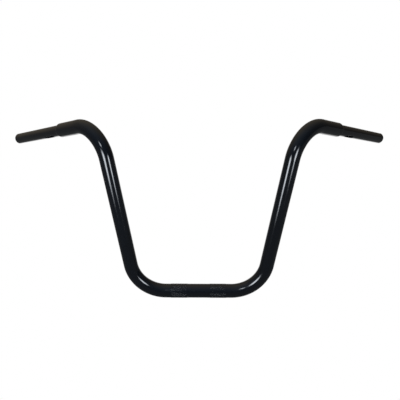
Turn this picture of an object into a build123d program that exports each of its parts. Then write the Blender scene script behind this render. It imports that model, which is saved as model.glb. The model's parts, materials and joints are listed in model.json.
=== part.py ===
from build123d import *

import os
from math import cos, radians, sin, tan

# Ape hanger handlebar: one steel tube, bent four times, with both ends swaged down to grip size.
# Millimetres. The origin is the middle of the base, on the tube's axis. +X runs along the base to one side,
# +Z runs up in the plane of the two legs, and +Y runs back towards the rider, where the grips point.

# Tube stock
TUBE_OD = 31.75
WALL = 3.05
GRIP_OD = 25.4

# Base: two knurled bands that the risers clamp, with plain tube left beyond each
RISER_SPACING = 88.9
KNURL_LENGTH = 38.1
KNURL_MARGIN = 11.25
KNURL_RAISE = 0.3
KNURL_RUNOUT = 0.8

# Legs
LOWER_BEND_RADIUS = 80.0
LEG_STRAIGHT = 249.5
LEG_LEAN = 9.0

# Grips: sweep is the angle outward from straight back, droop the angle below level
UPPER_BEND_RADIUS = 68.0
NECK_STRAIGHT = 66.5
SHOULDER_LENGTH = 8.0
GRIP_LENGTH = 206.0
GRIP_SWEEP = 47.0
GRIP_DROOP = 14.0
RIM_CHAMFER = 0.8

# Wire slots: one under each grip for the switch leads, one under the base where the leads come out
SLOT_LENGTH = 36.0
SLOT_WIDTH = 10.5
SLOT_SETBACK = 25.0
SLOT_TURN = 25.0
EXIT_LENGTH = 30.0
EXIT_WIDTH = 13.0

# Radii of the tube, outside and inside
tube_radius = TUBE_OD / 2
tube_bore_radius = tube_radius - WALL
grip_radius = GRIP_OD / 2
grip_bore_radius = grip_radius - WALL

# Directions of the three straight runs on the +X side
base_direction = Vector(1, 0, 0)
leg_direction = Vector(sin(radians(LEG_LEAN)), 0, cos(radians(LEG_LEAN)))
grip_direction = Vector(
    cos(radians(GRIP_DROOP)) * sin(radians(GRIP_SWEEP)),
    cos(radians(GRIP_DROOP)) * cos(radians(GRIP_SWEEP)),
    -sin(radians(GRIP_DROOP)),
)


def bend(start, direction_in, direction_out, radius):
    """Arc that leaves a straight run at its end and turns into the next one."""
    half_turn = radians(direction_in.get_angle(direction_out)) / 2
    reach = radius * tan(half_turn)
    corner = start + direction_in * reach
    inward = (direction_out - direction_in).normalized()
    middle = corner + inward * radius * (1 / cos(half_turn) - 1)
    return ThreePointArc(start, middle, corner + direction_out * reach)


# Bend line of the +X half: base, lower bend, leg, upper bend, neck
half_base = RISER_SPACING / 2 + KNURL_LENGTH / 2 + KNURL_MARGIN
base_run = Line(Vector(0, 0, 0), base_direction * half_base)
lower_bend = bend(base_run @ 1, base_direction, leg_direction, LOWER_BEND_RADIUS)
leg_run = Line(lower_bend @ 1, lower_bend @ 1 + leg_direction * LEG_STRAIGHT)
upper_bend = bend(leg_run @ 1, leg_direction, grip_direction, UPPER_BEND_RADIUS)
neck_run = Line(upper_bend @ 1, upper_bend @ 1 + grip_direction * NECK_STRAIGHT)
bend_line = Wire([base_run, lower_bend, leg_run, upper_bend, neck_run])

# Fat tube of constant section along the bend line
tube_section = Plane.YZ * (Circle(tube_radius) - Circle(tube_bore_radius))
half_bar = sweep(tube_section, path=bend_line)

# Swaged end: its profile lies in a plane through the grip's axis, with distance along the axis as x.
# Outside, the shoulder is two arcs that meet halfway down, each tangent to its tube; inside, it is a cone.
neck_end = neck_run @ 1
sideways = grip_direction.cross(Vector(0, 0, 1)).normalized()
grip_plane = Plane(origin=neck_end, x_dir=grip_direction, z_dir=sideways)
grip_end = SHOULDER_LENGTH + GRIP_LENGTH
shoulder_middle = (SHOULDER_LENGTH / 2, (tube_radius + grip_radius) / 2)
shoulder_top = TangentArc((0, tube_radius), shoulder_middle, tangent=(1, 0))
shoulder_foot = TangentArc(shoulder_middle, (SHOULDER_LENGTH, grip_radius), tangent=shoulder_top % 1)
rest_of_profile = Polyline(
    (SHOULDER_LENGTH, grip_radius),
    (grip_end - RIM_CHAMFER, grip_radius),
    (grip_end, grip_radius - RIM_CHAMFER),
    (grip_end, grip_bore_radius),
    (SHOULDER_LENGTH, grip_bore_radius),
    (0, tube_bore_radius),
    (0, tube_radius),
)
end_profile = make_face([shoulder_top, shoulder_foot, *rest_of_profile.edges()])
half_bar += revolve(grip_plane * end_profile, axis=Axis(neck_end, grip_direction))

# Knurled band: the tube's own wall, raised by the rolling, with its ends run out to the plain surface
band_start = RISER_SPACING / 2 - KNURL_LENGTH / 2
band_end = band_start + KNURL_LENGTH
mid_wall_radius = tube_radius - WALL / 2
knurl_radius = tube_radius + KNURL_RAISE
band_profile = Polyline(
    (band_start, mid_wall_radius),
    (band_start, tube_radius),
    (band_start + KNURL_RUNOUT, knurl_radius),
    (band_end - KNURL_RUNOUT, knurl_radius),
    (band_end, tube_radius),
    (band_end, mid_wall_radius),
    close=True,
)
half_bar += revolve(make_face(band_profile), axis=Axis.X)

# Wire slot in the grip, turned forward from the underside
underside = sideways.cross(grip_direction) * -1
slot_direction = underside.rotate(Axis((0, 0, 0), grip_direction), -SLOT_TURN)
slot_centre = neck_end + grip_direction * (SHOULDER_LENGTH + SLOT_SETBACK + SLOT_LENGTH / 2)
slot_plane = Plane(origin=slot_centre, x_dir=grip_direction, z_dir=slot_direction)
half_bar -= extrude(slot_plane * SlotOverall(SLOT_LENGTH, SLOT_WIDTH), amount=GRIP_OD)

# Both halves as one bar, with the exit slot under the middle of the base
bar = half_bar + mirror(half_bar, about=Plane.YZ)
exit_plane = Plane(origin=(0, 0, 0), x_dir=base_direction, z_dir=(0, 0, -1))
bar -= extrude(exit_plane * SlotOverall(EXIT_LENGTH, EXIT_WIDTH), amount=TUBE_OD)

os.makedirs("parts", exist_ok=True)
export_step(bar.solid(), "parts/handlebar.step")
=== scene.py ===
import json
from math import asin, cos, hypot, pi, radians, sin

import bpy
from mathutils import Matrix, Quaternion, Vector


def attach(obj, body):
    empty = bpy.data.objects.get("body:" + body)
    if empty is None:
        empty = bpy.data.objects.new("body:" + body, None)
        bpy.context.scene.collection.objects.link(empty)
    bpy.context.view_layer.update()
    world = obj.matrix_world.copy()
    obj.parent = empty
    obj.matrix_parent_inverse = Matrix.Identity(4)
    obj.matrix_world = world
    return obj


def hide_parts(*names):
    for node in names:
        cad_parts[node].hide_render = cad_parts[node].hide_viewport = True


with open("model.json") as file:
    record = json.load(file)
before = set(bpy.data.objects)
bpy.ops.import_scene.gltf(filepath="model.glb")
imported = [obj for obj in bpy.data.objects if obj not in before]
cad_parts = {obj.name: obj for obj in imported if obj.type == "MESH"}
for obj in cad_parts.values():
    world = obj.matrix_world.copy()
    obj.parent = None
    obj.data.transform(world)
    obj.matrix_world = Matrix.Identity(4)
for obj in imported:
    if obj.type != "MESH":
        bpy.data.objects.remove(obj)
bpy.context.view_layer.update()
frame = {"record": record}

# Steel tube
# The bar is one length of drawn steel tube, cold bent four times round a former. Half of its skin is drawn
# out here, ring by ring, from the middle of the base to the end of the neck.
TUBE_SIDES = 64
TUBE_RADIUS = 0.015875
WALL = 0.00305
KNURL_MARGIN = 0.01125
KNURL_RUNOUT = 0.00015
KNURL_ROWS = 14
KNURL_DEPTH = 0.00009
LOWER_BEND_RADIUS = 0.080
LEG_LEAN = radians(9)
LEG_STRAIGHT = 0.2495
UPPER_BEND_RADIUS = 0.068
NECK_STRAIGHT = 0.0665
SKIN_STEP = radians(2.5)

mounts = {mount["name"]: mount for mount in frame["record"]["mounts"]}
clamps = mounts["riser_clamps"]["dims"]
band_length = clamps["length_mm"] / 1000
band_start = clamps["spacing_x_mm"] / 2000 - band_length / 2
band_end = band_start + band_length
valley_radius = clamps["r_mm"] / 1000 - KNURL_DEPTH
knurl_start = band_start + KNURL_RUNOUT
knurl_end = band_end - KNURL_RUNOUT
row_length = (knurl_end - knurl_start) / KNURL_ROWS
half_base = band_end + KNURL_MARGIN
along_base = Vector((1, 0, 0))
along_leg = Vector((sin(LEG_LEAN), 0, cos(LEG_LEAN)))
along_grip = Vector(mounts["left_grip"]["axis"]).normalized()


def draw_out(shift):
    """Extrudes the selected ring along a straight run."""
    bpy.ops.mesh.extrude_region_move(TRANSFORM_OT_translate={"value": shift})


def draw_round(former, axis, turn, step):
    """Spins the selected ring round a former, given by its centre and axis."""
    bpy.ops.mesh.spin(steps=round(abs(turn) / step), angle=-turn, center=former, axis=axis)


def draw_down(shift, centre, radius_before, radius_after):
    """Extrudes the selected ring and brings it to another radius about its centre."""
    draw_out(shift)
    scale = radius_after / radius_before
    bpy.ops.transform.resize(value=(scale, scale, scale), center_override=centre)


lower_axis = along_base.cross(along_leg).normalized()
lower_turn = along_base.angle(along_leg)
lower_former = along_base * half_base + lower_axis.cross(along_base) * LOWER_BEND_RADIUS
leg_start = lower_former - lower_axis.cross(along_leg) * LOWER_BEND_RADIUS
leg_end = leg_start + along_leg * LEG_STRAIGHT
upper_axis = along_leg.cross(along_grip).normalized()
upper_turn = along_leg.angle(along_grip)
upper_former = leg_end + upper_axis.cross(along_leg) * UPPER_BEND_RADIUS
neck_start = upper_former - upper_axis.cross(along_grip) * UPPER_BEND_RADIUS
neck_end = neck_start + along_grip * NECK_STRAIGHT

bpy.ops.object.select_all(action="DESELECT")
bpy.ops.mesh.primitive_circle_add(vertices=TUBE_SIDES, radius=TUBE_RADIUS, rotation=(0, pi / 2, 0))
bar = bpy.context.object
bar.name = "handlebar_tube"
bpy.ops.object.transform_apply(location=True, rotation=True, scale=True)
bpy.ops.object.mode_set(mode="EDIT")
bpy.ops.mesh.select_all(action="SELECT")
draw_out(along_base * band_start)
draw_down(along_base * KNURL_RUNOUT, along_base * knurl_start, TUBE_RADIUS, valley_radius)
for row in range(KNURL_ROWS):
    draw_out(along_base * row_length)
draw_down(along_base * KNURL_RUNOUT, along_base * band_end, valley_radius, TUBE_RADIUS)
draw_out(along_base * KNURL_MARGIN)
draw_round(lower_former, lower_axis, lower_turn, SKIN_STEP)
draw_out(along_leg * LEG_STRAIGHT)
draw_round(upper_former, upper_axis, upper_turn, SKIN_STEP)
draw_out(along_grip * NECK_STRAIGHT)

# Grip ends
# Both ends of the tube are swaged down to grip size in a die, over a short shoulder that is tangent to both
# diameters. The ends are sawn square, their edges are broken, and the bore runs back from them to the base.
SHOULDER_LENGTH = 0.008
SHOULDER_STEPS = 6
RIM_CHAMFER = 0.0008
BORE_CHAMFER = 0.0004
BORE_STEP = radians(5)
BORE_FINISH = 1

grip_radius = mounts["left_grip"]["dims"]["r_mm"] / 1000
grip_straight = mounts["left_grip"]["dims"]["length_mm"] / 1000
tube_bore = TUBE_RADIUS - WALL
grip_bore = grip_radius - WALL
rim_start = SHOULDER_LENGTH + grip_straight
grip_end = rim_start + RIM_CHAMFER
half_drop = (TUBE_RADIUS - grip_radius) / 2
arc_radius = (SHOULDER_LENGTH ** 2 / 4 + half_drop ** 2) / (2 * half_drop)
arc_turn = asin(SHOULDER_LENGTH / 2 / arc_radius)
skin_profile = []
for step in range(1, SHOULDER_STEPS + 1):
    turned = arc_turn * step / SHOULDER_STEPS
    drop = arc_radius * (1 - cos(turned))
    skin_profile.append((arc_radius * sin(turned), TUBE_RADIUS - drop))
for step in range(SHOULDER_STEPS - 1, -1, -1):
    turned = arc_turn * step / SHOULDER_STEPS
    drop = arc_radius * (1 - cos(turned))
    skin_profile.append((SHOULDER_LENGTH - arc_radius * sin(turned), grip_radius + drop))
skin_profile.append((rim_start, grip_radius))
skin_profile.append((grip_end, grip_radius - RIM_CHAMFER))
skin_profile.append((grip_end, grip_bore + BORE_CHAMFER))
skin_profile.append((grip_end - BORE_CHAMFER, grip_bore))
bore_profile = [(SHOULDER_LENGTH, grip_bore), (0, tube_bore)]
reached, radius = 0, TUBE_RADIUS
for distance, next_radius in skin_profile + bore_profile:
    shift = along_grip * (distance - reached)
    draw_down(shift, neck_end + along_grip * distance, radius, next_radius)
    reached, radius = distance, next_radius
bpy.ops.object.mode_set(mode="OBJECT")
skin_faces = len(bar.data.polygons) - len(bore_profile) * TUBE_SIDES
bpy.ops.object.mode_set(mode="EDIT")
draw_out(-along_grip * NECK_STRAIGHT)
draw_round(upper_former, upper_axis, -upper_turn, BORE_STEP)
draw_out(-along_leg * LEG_STRAIGHT)
draw_round(lower_former, lower_axis, -lower_turn, BORE_STEP)
draw_out(-along_base * half_base)
bpy.ops.object.mode_set(mode="OBJECT")
for face in bar.data.polygons[skin_faces:]:
    face.material_index = BORE_FINISH
bpy.ops.object.mode_set(mode="EDIT")

# Knurled bands
# Where the risers clamp, a fine diamond knurl is rolled into the base so that the bar can't turn. The rolling
# raises the band a little above the plain tube, and paint covers it.
KNURL_GROOVE = 0.00008
SEAM_MERGE = 0.000001
ELEMENTS = {"VERT": "vertices", "EDGE": "edges", "FACE": "polygons"}


def pick(kind, test):
    """Selects those of the bar's points, edges or faces that pass a test, and nothing else."""
    bpy.ops.mesh.select_mode(type=kind)
    bpy.ops.mesh.select_all(action="DESELECT")
    bpy.ops.object.mode_set(mode="OBJECT")
    for element in getattr(bar.data, ELEMENTS[kind]):
        element.select = test(element)
    bpy.ops.object.mode_set(mode="EDIT")


def ends_of(edge):
    """The places of an edge's two points."""
    return [bar.data.vertices[index].co for index in edge.vertices]


def on_skin(point):
    """True for a point of the base on its outer skin, not in its bore."""
    return hypot(point.y, point.z) > TUBE_RADIUS - WALL / 2


def on_band(face):
    """True for a face of the outer skin between the ends of the knurl."""
    return on_skin(face.center) and knurl_start < face.center.x < knurl_end


def between_diamonds(edge):
    """True for an edge of the drawn rows and columns, which the diamonds do without."""
    first, second = ends_of(edge)
    middle = (first + second) / 2
    inside = knurl_start + row_length / 4 < middle.x < knurl_end - row_length / 4
    return inside and on_skin(middle) and max(edge.vertices) < first_new


pick("FACE", on_band)
bpy.ops.object.mode_set(mode="OBJECT")
first_new = len(bar.data.vertices)
bpy.ops.object.mode_set(mode="EDIT")
bpy.ops.mesh.poke()
pick("EDGE", between_diamonds)
bpy.ops.mesh.dissolve_mode(use_verts=False)
pick("FACE", lambda face: on_band(face) and len(face.vertices) == 4)
bpy.ops.mesh.normals_make_consistent(inside=False)
bpy.ops.mesh.inset(thickness=KNURL_GROOVE, depth=KNURL_DEPTH, use_individual=True)
bpy.ops.object.mode_set(mode="OBJECT")

# The other half of the bar is the mirror image of this one, and both meet in the middle of the base.
bpy.ops.object.modifier_add(type="MIRROR")
bpy.ops.object.modifier_apply(modifier=bar.modifiers[0].name)
bpy.ops.object.mode_set(mode="EDIT")
bpy.ops.mesh.select_all(action="SELECT")
bpy.ops.mesh.remove_doubles(threshold=SEAM_MERGE)
bpy.ops.mesh.normals_make_consistent(inside=False)
bpy.ops.object.mode_set(mode="OBJECT")

# Wire slots
# An oblong slot is milled under each grip for the switch leads and one under the base where they come out.
# Their edges are rounded so that the leads aren't cut.
SLOT_LENGTH = 0.036
SLOT_WIDTH = 0.0105
SLOT_SETBACK = 0.025
SLOT_TURN = radians(25)
SLOT_SIDES = 96
EXIT_LENGTH = 0.030
EXIT_WIDTH = 0.013
MOUTH_NEAR = 0.0001
MOUTH_MERGE = 0.00015
MOUTH_ROUND = 0.0005
MOUTH_STEPS = 3
SHARP_ANGLE = radians(50)


def add_cutter(place, turn, width, depth):
    """Adds a round milling cutter."""
    bpy.ops.mesh.primitive_cylinder_add(
        vertices=SLOT_SIDES, radius=width / 2, depth=depth, location=place, rotation=turn
    )


def mill_slot(middle, along, outward, length, width):
    """Cuts an oblong slot through the wall on one side of the tube."""
    reach = TUBE_RADIUS * 2
    turn = outward.to_track_quat("Z", "Y").to_euler()
    centre = middle + outward * reach / 2
    spread = along * (length - width) / 2
    bpy.ops.object.select_all(action="DESELECT")
    add_cutter(centre + spread, turn, width, reach)
    cutter = bpy.context.object
    bpy.ops.object.transform_apply(location=True, rotation=True, scale=True)
    bpy.ops.object.mode_set(mode="EDIT")
    add_cutter(centre - spread, turn, width, reach)
    bpy.ops.mesh.select_all(action="SELECT")
    bpy.ops.mesh.convex_hull()
    bpy.ops.object.mode_set(mode="OBJECT")
    bpy.context.view_layer.objects.active = bar
    cut = bar.modifiers.new("slot", "BOOLEAN")
    cut.object = cutter
    cut.solver = "EXACT"
    bpy.ops.object.modifier_apply(modifier=cut.name)
    bpy.data.objects.remove(cutter)


def at_mouth(point):
    """True for a point on the outer edge of a slot."""
    if abs(point.x) < EXIT_LENGTH:
        under = point.z < 0 and abs(point.x) < EXIT_LENGTH / 2 + MOUTH_NEAR
        return under and hypot(point.y, point.z) > TUBE_RADIUS - MOUTH_NEAR
    offset = Vector((abs(point.x), point.y, point.z)) - slot_middle
    distance = offset.dot(along_grip)
    out = (offset - along_grip * distance).length
    return abs(distance) < SLOT_LENGTH / 2 + MOUTH_NEAR and out > grip_radius - MOUTH_NEAR


sideways = along_grip.cross(Vector((0, 0, 1))).normalized()
underside = along_grip.cross(sideways)
slot_outward = Quaternion(along_grip, -SLOT_TURN) @ underside
slot_middle = neck_end + along_grip * (SHOULDER_LENGTH + SLOT_SETBACK + SLOT_LENGTH / 2)
flip = Matrix.Diagonal((-1, 1, 1))
mill_slot(slot_middle, along_grip, slot_outward, SLOT_LENGTH, SLOT_WIDTH)
mill_slot(flip @ slot_middle, flip @ along_grip, flip @ slot_outward, SLOT_LENGTH, SLOT_WIDTH)
mill_slot(Vector((0, 0, 0)), along_base, Vector((0, 0, -1)), EXIT_LENGTH, EXIT_WIDTH)

bar.select_set(True)
bpy.ops.object.mode_set(mode="EDIT")
pick("VERT", lambda vertex: at_mouth(vertex.co))
bpy.ops.mesh.remove_doubles(threshold=MOUTH_MERGE)
bpy.ops.mesh.select_mode(type="EDGE")
bpy.ops.mesh.select_all(action="DESELECT")
bpy.ops.mesh.edges_select_sharp(sharpness=SHARP_ANGLE)
bpy.ops.object.mode_set(mode="OBJECT")
sharp = {edge.index for edge in bar.data.edges if edge.select}
bpy.ops.object.mode_set(mode="EDIT")
pick("EDGE", lambda edge: edge.index in sharp and all(at_mouth(end) for end in ends_of(edge)))
bpy.ops.mesh.bevel(offset=MOUTH_ROUND, segments=MOUTH_STEPS, affect="EDGES", clamp_overlap=False)
bpy.ops.object.mode_set(mode="OBJECT")
bpy.ops.object.shade_smooth_by_angle(angle=SHARP_ANGLE)
weighted = bar.modifiers.new("weighted", "WEIGHTED_NORMAL")
weighted.keep_sharp = True
bpy.ops.object.modifier_apply(modifier=weighted.name)

# Paint
# The bar is sprayed gloss black outside and in the slots. The film has a slight orange peel, and its
# blue-black varies a little in depth and in shine, as handled paint does.
PAINT_DARK = (0.0014, 0.0022, 0.0038, 1)
PAINT_LIGHT = (0.0024, 0.0034, 0.0054, 1)
PAINT_IOR = 1.5
PAINT_ROUGHNESS = (0.08, 0.14)
FILM_SCALE = 38
HANDLING_SCALE = 120
HANDLING_RANGE = (0.3, 0.7)
PEEL_SCALE = 420
PEEL_STRENGTH = 0.05
PEEL_HEIGHT = 0.0003


def add_noise(tree, scale, detail):
    """Adds a noise fixed to the bar and returns its value."""
    place = tree.nodes.new("ShaderNodeTexCoord")
    noise = tree.nodes.new("ShaderNodeTexNoise")
    noise.inputs["Scale"].default_value = scale
    noise.inputs["Detail"].default_value = detail
    tree.links.new(place.outputs["Object"], noise.inputs["Vector"])
    return noise.outputs["Fac"]


def mix_colours(tree, factor, first, second):
    """Mixes two colours by a value and returns the result."""
    mix = tree.nodes.new("ShaderNodeMix")
    mix.data_type = "RGBA"
    mix.inputs["A"].default_value = first
    mix.inputs["B"].default_value = second
    tree.links.new(factor, mix.inputs["Factor"])
    return mix.outputs["Result"]


def fit_range(tree, value, before=(0, 1), after=(0, 1)):
    """Fits a value from one range to another and returns the result."""
    fit = tree.nodes.new("ShaderNodeMapRange")
    fit.inputs["From Min"].default_value, fit.inputs["From Max"].default_value = before
    fit.inputs["To Min"].default_value, fit.inputs["To Max"].default_value = after
    tree.links.new(value, fit.inputs["Value"])
    return fit.outputs["Result"]


paint = bpy.data.materials.new("gloss_black_paint")
paint.use_nodes = True
tree = paint.node_tree
shader = tree.nodes["Principled BSDF"]
shader.inputs["IOR"].default_value = PAINT_IOR
film = add_noise(tree, FILM_SCALE, detail=4)
tree.links.new(mix_colours(tree, film, PAINT_DARK, PAINT_LIGHT), shader.inputs["Base Color"])
handling = add_noise(tree, HANDLING_SCALE, detail=6)
shine = fit_range(tree, handling, before=HANDLING_RANGE, after=PAINT_ROUGHNESS)
tree.links.new(shine, shader.inputs["Roughness"])
peel = tree.nodes.new("ShaderNodeBump")
peel.inputs["Strength"].default_value = PEEL_STRENGTH
peel.inputs["Distance"].default_value = PEEL_HEIGHT
tree.links.new(add_noise(tree, PEEL_SCALE, detail=1), peel.inputs["Height"])
tree.links.new(peel.outputs["Normal"], shader.inputs["Normal"])
bar.data.materials.append(paint)

# Bore
# The bore isn't painted. It is left as the mill drew it, in bare steel that is dull and patchy with scale,
# and it shows at the open ends and through the slots.
STEEL_DARK = (0.11, 0.105, 0.10, 1)
STEEL_LIGHT = (0.24, 0.23, 0.22, 1)
STEEL_METALLIC = 0.7
STEEL_ROUGHNESS = (0.42, 0.68)
PATCH_SCALE = 180

steel = bpy.data.materials.new("bore_steel")
steel.use_nodes = True
tree = steel.node_tree
shader = tree.nodes["Principled BSDF"]
shader.inputs["Metallic"].default_value = STEEL_METALLIC
patches = add_noise(tree, PATCH_SCALE, detail=6)
tree.links.new(mix_colours(tree, patches, STEEL_DARK, STEEL_LIGHT), shader.inputs["Base Color"])
tree.links.new(fit_range(tree, patches, after=STEEL_ROUGHNESS), shader.inputs["Roughness"])
bar.data.materials.append(steel)
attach(bar, "root")
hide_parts("handlebar")

# Camera
# It stands in front of the bar, above the grips, and looks down on the base. The bar sits a little off the
# camera's axis.
CAMERA_PLACE = Vector((-0.0127, -0.9393, 0.5728))
CAMERA_TURN = radians(0.93)
CAMERA_TILT = radians(69.60)
CAMERA_ROLL = radians(-0.27)
CAMERA_LENS = 42.05
CAMERA_SHIFT = 0.035

aim = Matrix.Rotation(CAMERA_TURN, 3, "Z") @ Matrix.Rotation(CAMERA_TILT, 3, "X")
aim = aim @ Matrix.Rotation(CAMERA_ROLL, 3, "Z")
bpy.ops.object.select_all(action="DESELECT")
bpy.ops.object.camera_add(location=CAMERA_PLACE, rotation=aim.to_euler())
camera = bpy.context.object
camera.name = "photo_camera"
camera.data.lens = CAMERA_LENS
camera.data.shift_x = CAMERA_SHIFT
bpy.context.scene.camera = camera
bpy.context.scene.view_settings.view_transform = "Standard"

# Backdrop
# A white board stands far behind the bar, square to the camera and just larger than the picture. It shows
# white to the camera and in reflections, and otherwise is plain matt card.
BOARD_DISTANCE = 6.5
BOARD_MARGIN = 1.02

picture_size = BOARD_DISTANCE * camera.data.sensor_width / CAMERA_LENS
board_size = picture_size * BOARD_MARGIN
board_place = CAMERA_PLACE + aim @ Vector((CAMERA_SHIFT * picture_size, 0, -BOARD_DISTANCE))
bpy.ops.mesh.primitive_plane_add(size=board_size, location=board_place, rotation=aim.to_euler())
board = bpy.context.object
board.name = "white_board"
bpy.ops.object.transform_apply(location=True, rotation=True, scale=True)
white = bpy.data.materials.new("white_board")
white.use_nodes = True
nodes = white.node_tree.nodes
links = white.node_tree.links
nodes.remove(nodes["Principled BSDF"])
ray = nodes.new("ShaderNodeLightPath")
seen = nodes.new("ShaderNodeMath")
seen.operation = "MAXIMUM"
links.new(ray.outputs["Is Camera Ray"], seen.inputs[0])
links.new(ray.outputs["Is Glossy Ray"], seen.inputs[1])
seen_at_all = nodes.new("ShaderNodeMath")
seen_at_all.operation = "MAXIMUM"
links.new(seen.outputs[0], seen_at_all.inputs[0])
links.new(ray.outputs["Is Transmission Ray"], seen_at_all.inputs[1])
card = nodes.new("ShaderNodeBsdfDiffuse")
glow = nodes.new("ShaderNodeEmission")
either = nodes.new("ShaderNodeMixShader")
links.new(seen_at_all.outputs[0], either.inputs["Fac"])
links.new(card.outputs["BSDF"], either.inputs[1])
links.new(glow.outputs["Emission"], either.inputs[2])
links.new(either.outputs["Shader"], nodes["Material Output"].inputs["Surface"])
board.data.materials.append(white)

# Floor
# The bar hangs high over a plain matt floor in pale grey. It runs out to the horizon, so that no edge of it
# shows from any side.
FLOOR_HEIGHT = -4.5
FLOOR_SIZE = 200
FLOOR_GREY = (0.50, 0.52, 0.54, 1)
FLOOR_ROUGHNESS = 0.9

bpy.ops.mesh.primitive_plane_add(size=FLOOR_SIZE, location=(0, 0, FLOOR_HEIGHT))
floor = bpy.context.object
floor.name = "studio_floor"
bpy.ops.object.transform_apply(location=True, rotation=True, scale=True)
pale = bpy.data.materials.new("pale_floor")
pale.use_nodes = True
shader = pale.node_tree.nodes["Principled BSDF"]
shader.inputs["Base Color"].default_value = FLOOR_GREY
shader.inputs["Roughness"].default_value = FLOOR_ROUGHNESS
floor.data.materials.append(pale)

# Lamps
# Two soft boxes stand in front of the bar, one each side and level with its legs, and a third hangs high at
# the front left. Each is brightest in its middle and fades out to its edges.
LAMP_COLOUR = (0.87, 0.93, 1.0)
LAMP_FULL = 0.7


def soft_box(name, place, aim_at, size, power):
    """Adds a soft box that is brightest in the middle."""
    turn = (Vector(place) - Vector(aim_at)).to_track_quat("Z", "Y").to_euler()
    bpy.ops.object.light_add(type="AREA", location=place, rotation=turn)
    lamp = bpy.context.object
    lamp.name = name
    lamp.visible_camera = False
    lamp.data.shape = "RECTANGLE"
    lamp.data.size, lamp.data.size_y = size
    lamp.data.energy = power
    lamp.data.color = LAMP_COLOUR
    lamp.data.use_nodes = True
    nodes = lamp.data.node_tree.nodes
    links = lamp.data.node_tree.links
    across = nodes.new("ShaderNodeNewGeometry").outputs["Parametric"]
    centred = nodes.new("ShaderNodeMapping")
    centred.inputs["Location"].default_value = (-1, -1, 0)
    centred.inputs["Scale"].default_value = (2, 2, 0)
    links.new(across, centred.inputs["Vector"])
    fade = nodes.new("ShaderNodeTexGradient")
    fade.gradient_type = "SPHERICAL"
    links.new(centred.outputs["Vector"], fade.inputs["Vector"])
    cloth = nodes.new("ShaderNodeMapRange")
    cloth.interpolation_type = "SMOOTHSTEP"
    cloth.inputs["From Max"].default_value = LAMP_FULL
    links.new(fade.outputs["Fac"], cloth.inputs["Value"])
    links.new(cloth.outputs["Result"], nodes["Emission"].inputs["Strength"])


soft_box("lamp_left", place=(-0.385, -0.604, 0.205), aim_at=(0, 0, 0.205), size=(0.42, 0.55), power=11.5)
soft_box("lamp_right", place=(0.443, -0.647, 0.248), aim_at=(0, 0, 0.248), size=(0.36, 0.54), power=9.5)
soft_box("lamp_high", place=(-0.39, -1.20, 0.95), aim_at=(0, 0, 0.2), size=(0.46, 0.46), power=7)

# Room
# The room gives a dim, soft light. It is lightest overhead and to the left, cool in front of the bar and
# warm behind it.
ROOM_LOW = (0.10, 0.10, 0.10, 1)
ROOM_MIDDLE = (0.18, 0.18, 0.18, 1)
ROOM_TOP = (0.35, 0.35, 0.35, 1)
MIDDLE_HEIGHT = 0.5
TOP_HEIGHT = 0.95
ROOM_FRONT = (0.65, 0.77, 0.95, 1)
ROOM_REAR = (1.25, 1.10, 0.86, 1)
FRONT_TO_REAR = (-0.6, 0.6)
LEFT_TO_RIGHT = (-1, 1)
ROOM_SIDES = (1.65, 0.55)

world = bpy.data.worlds.new("studio")
bpy.context.scene.world = world
world.use_nodes = True
tree = world.node_tree
background = tree.nodes["Background"]
parts = tree.nodes.new("ShaderNodeSeparateXYZ")
tree.links.new(tree.nodes.new("ShaderNodeTexCoord").outputs["Generated"], parts.inputs["Vector"])
level = tree.nodes.new("ShaderNodeValToRGB")
ramp = level.color_ramp.elements
ramp[0].color = ROOM_LOW
ramp[1].color = ROOM_TOP
ramp[1].position = TOP_HEIGHT
ramp.new(MIDDLE_HEIGHT).color = ROOM_MIDDLE
tree.links.new(parts.outputs["Z"], level.inputs["Fac"])
facing = fit_range(tree, parts.outputs["Y"], before=FRONT_TO_REAR)
tint = mix_colours(tree, facing, ROOM_FRONT, ROOM_REAR)
tinted = tree.nodes.new("ShaderNodeMix")
tinted.data_type = "RGBA"
tinted.blend_type = "MULTIPLY"
tinted.inputs["Factor"].default_value = 1
tree.links.new(level.outputs["Color"], tinted.inputs["A"])
tree.links.new(tint, tinted.inputs["B"])
tree.links.new(tinted.outputs["Result"], background.inputs["Color"])
side = fit_range(tree, parts.outputs["X"], before=LEFT_TO_RIGHT, after=ROOM_SIDES)
tree.links.new(side, background.inputs["Strength"])
